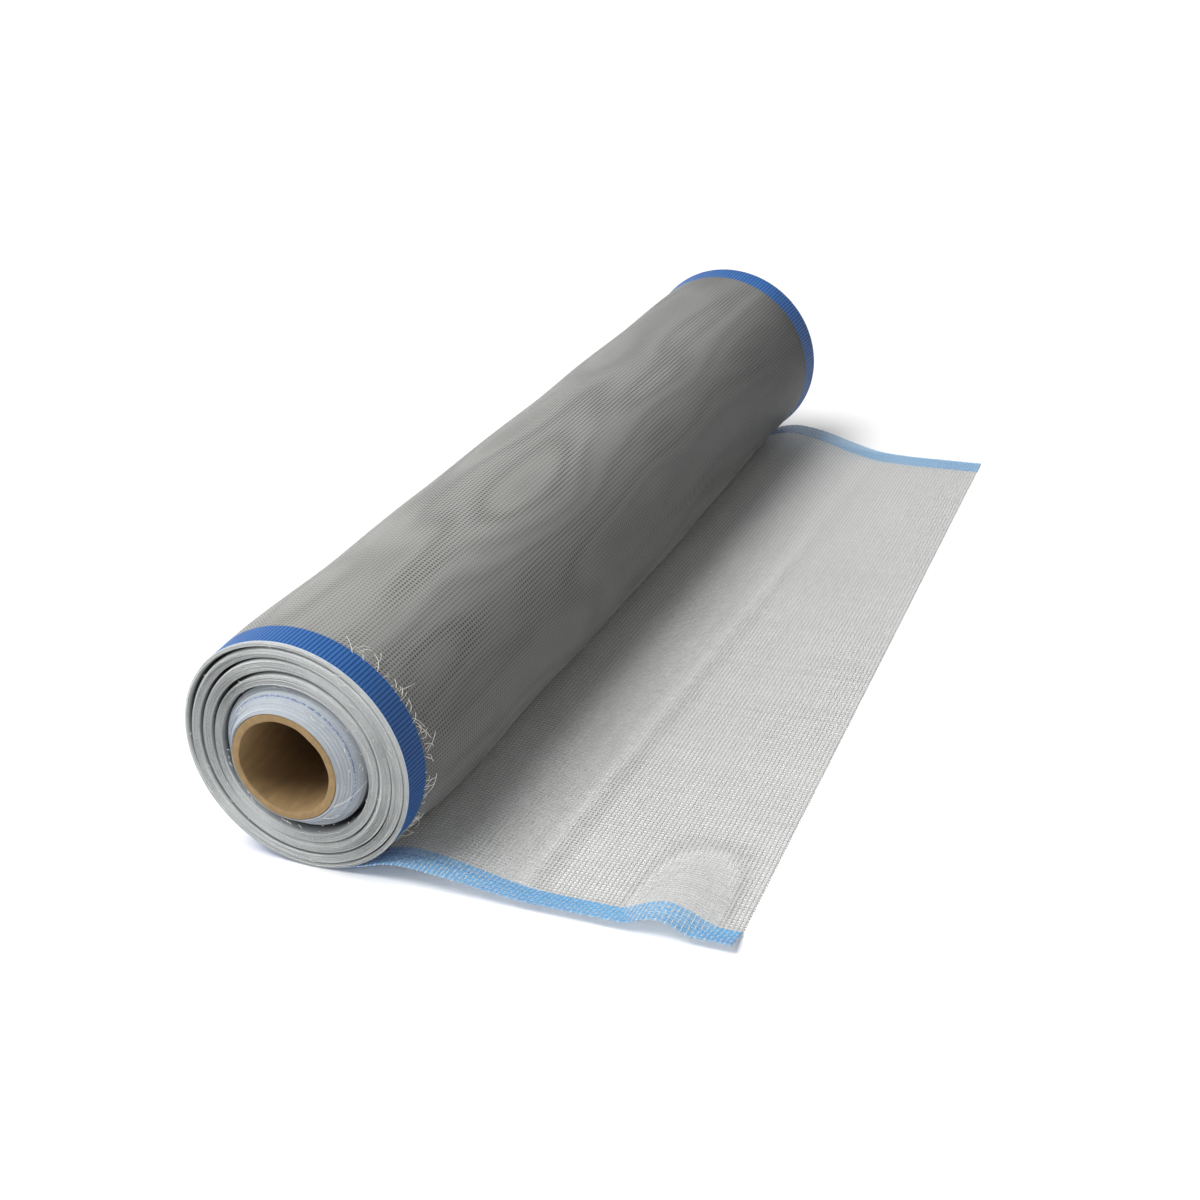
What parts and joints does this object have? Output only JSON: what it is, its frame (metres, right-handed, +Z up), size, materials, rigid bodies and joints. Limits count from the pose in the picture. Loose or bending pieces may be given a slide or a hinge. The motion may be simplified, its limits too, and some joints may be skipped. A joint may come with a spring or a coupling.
{
  "type": "roll of plastic insect screen",
  "caption": "Roll of grey woven plastic insect screen with blue selvages on a cardboard tube, lying on its side with the last turn rolled out on the floor.",
  "frame": {"origin": "middle of the box around the part, on the floor", "axes": "+Y along the roll's axis towards its far end, +X towards the loose end's cut edge, +Z up"},
  "size_m": [0.2858, 0.6126, 0.1257],
  "materials": {
    "woven_screen": "woven grey plastic thread with blue selvages",
    "cardboard": "spiral-wound brown paper tube"
  },
  "bodies": {
    "root": {"core_tube": "cardboard", "insect_screen": "woven_screen"}
  },
  "joints": []
}
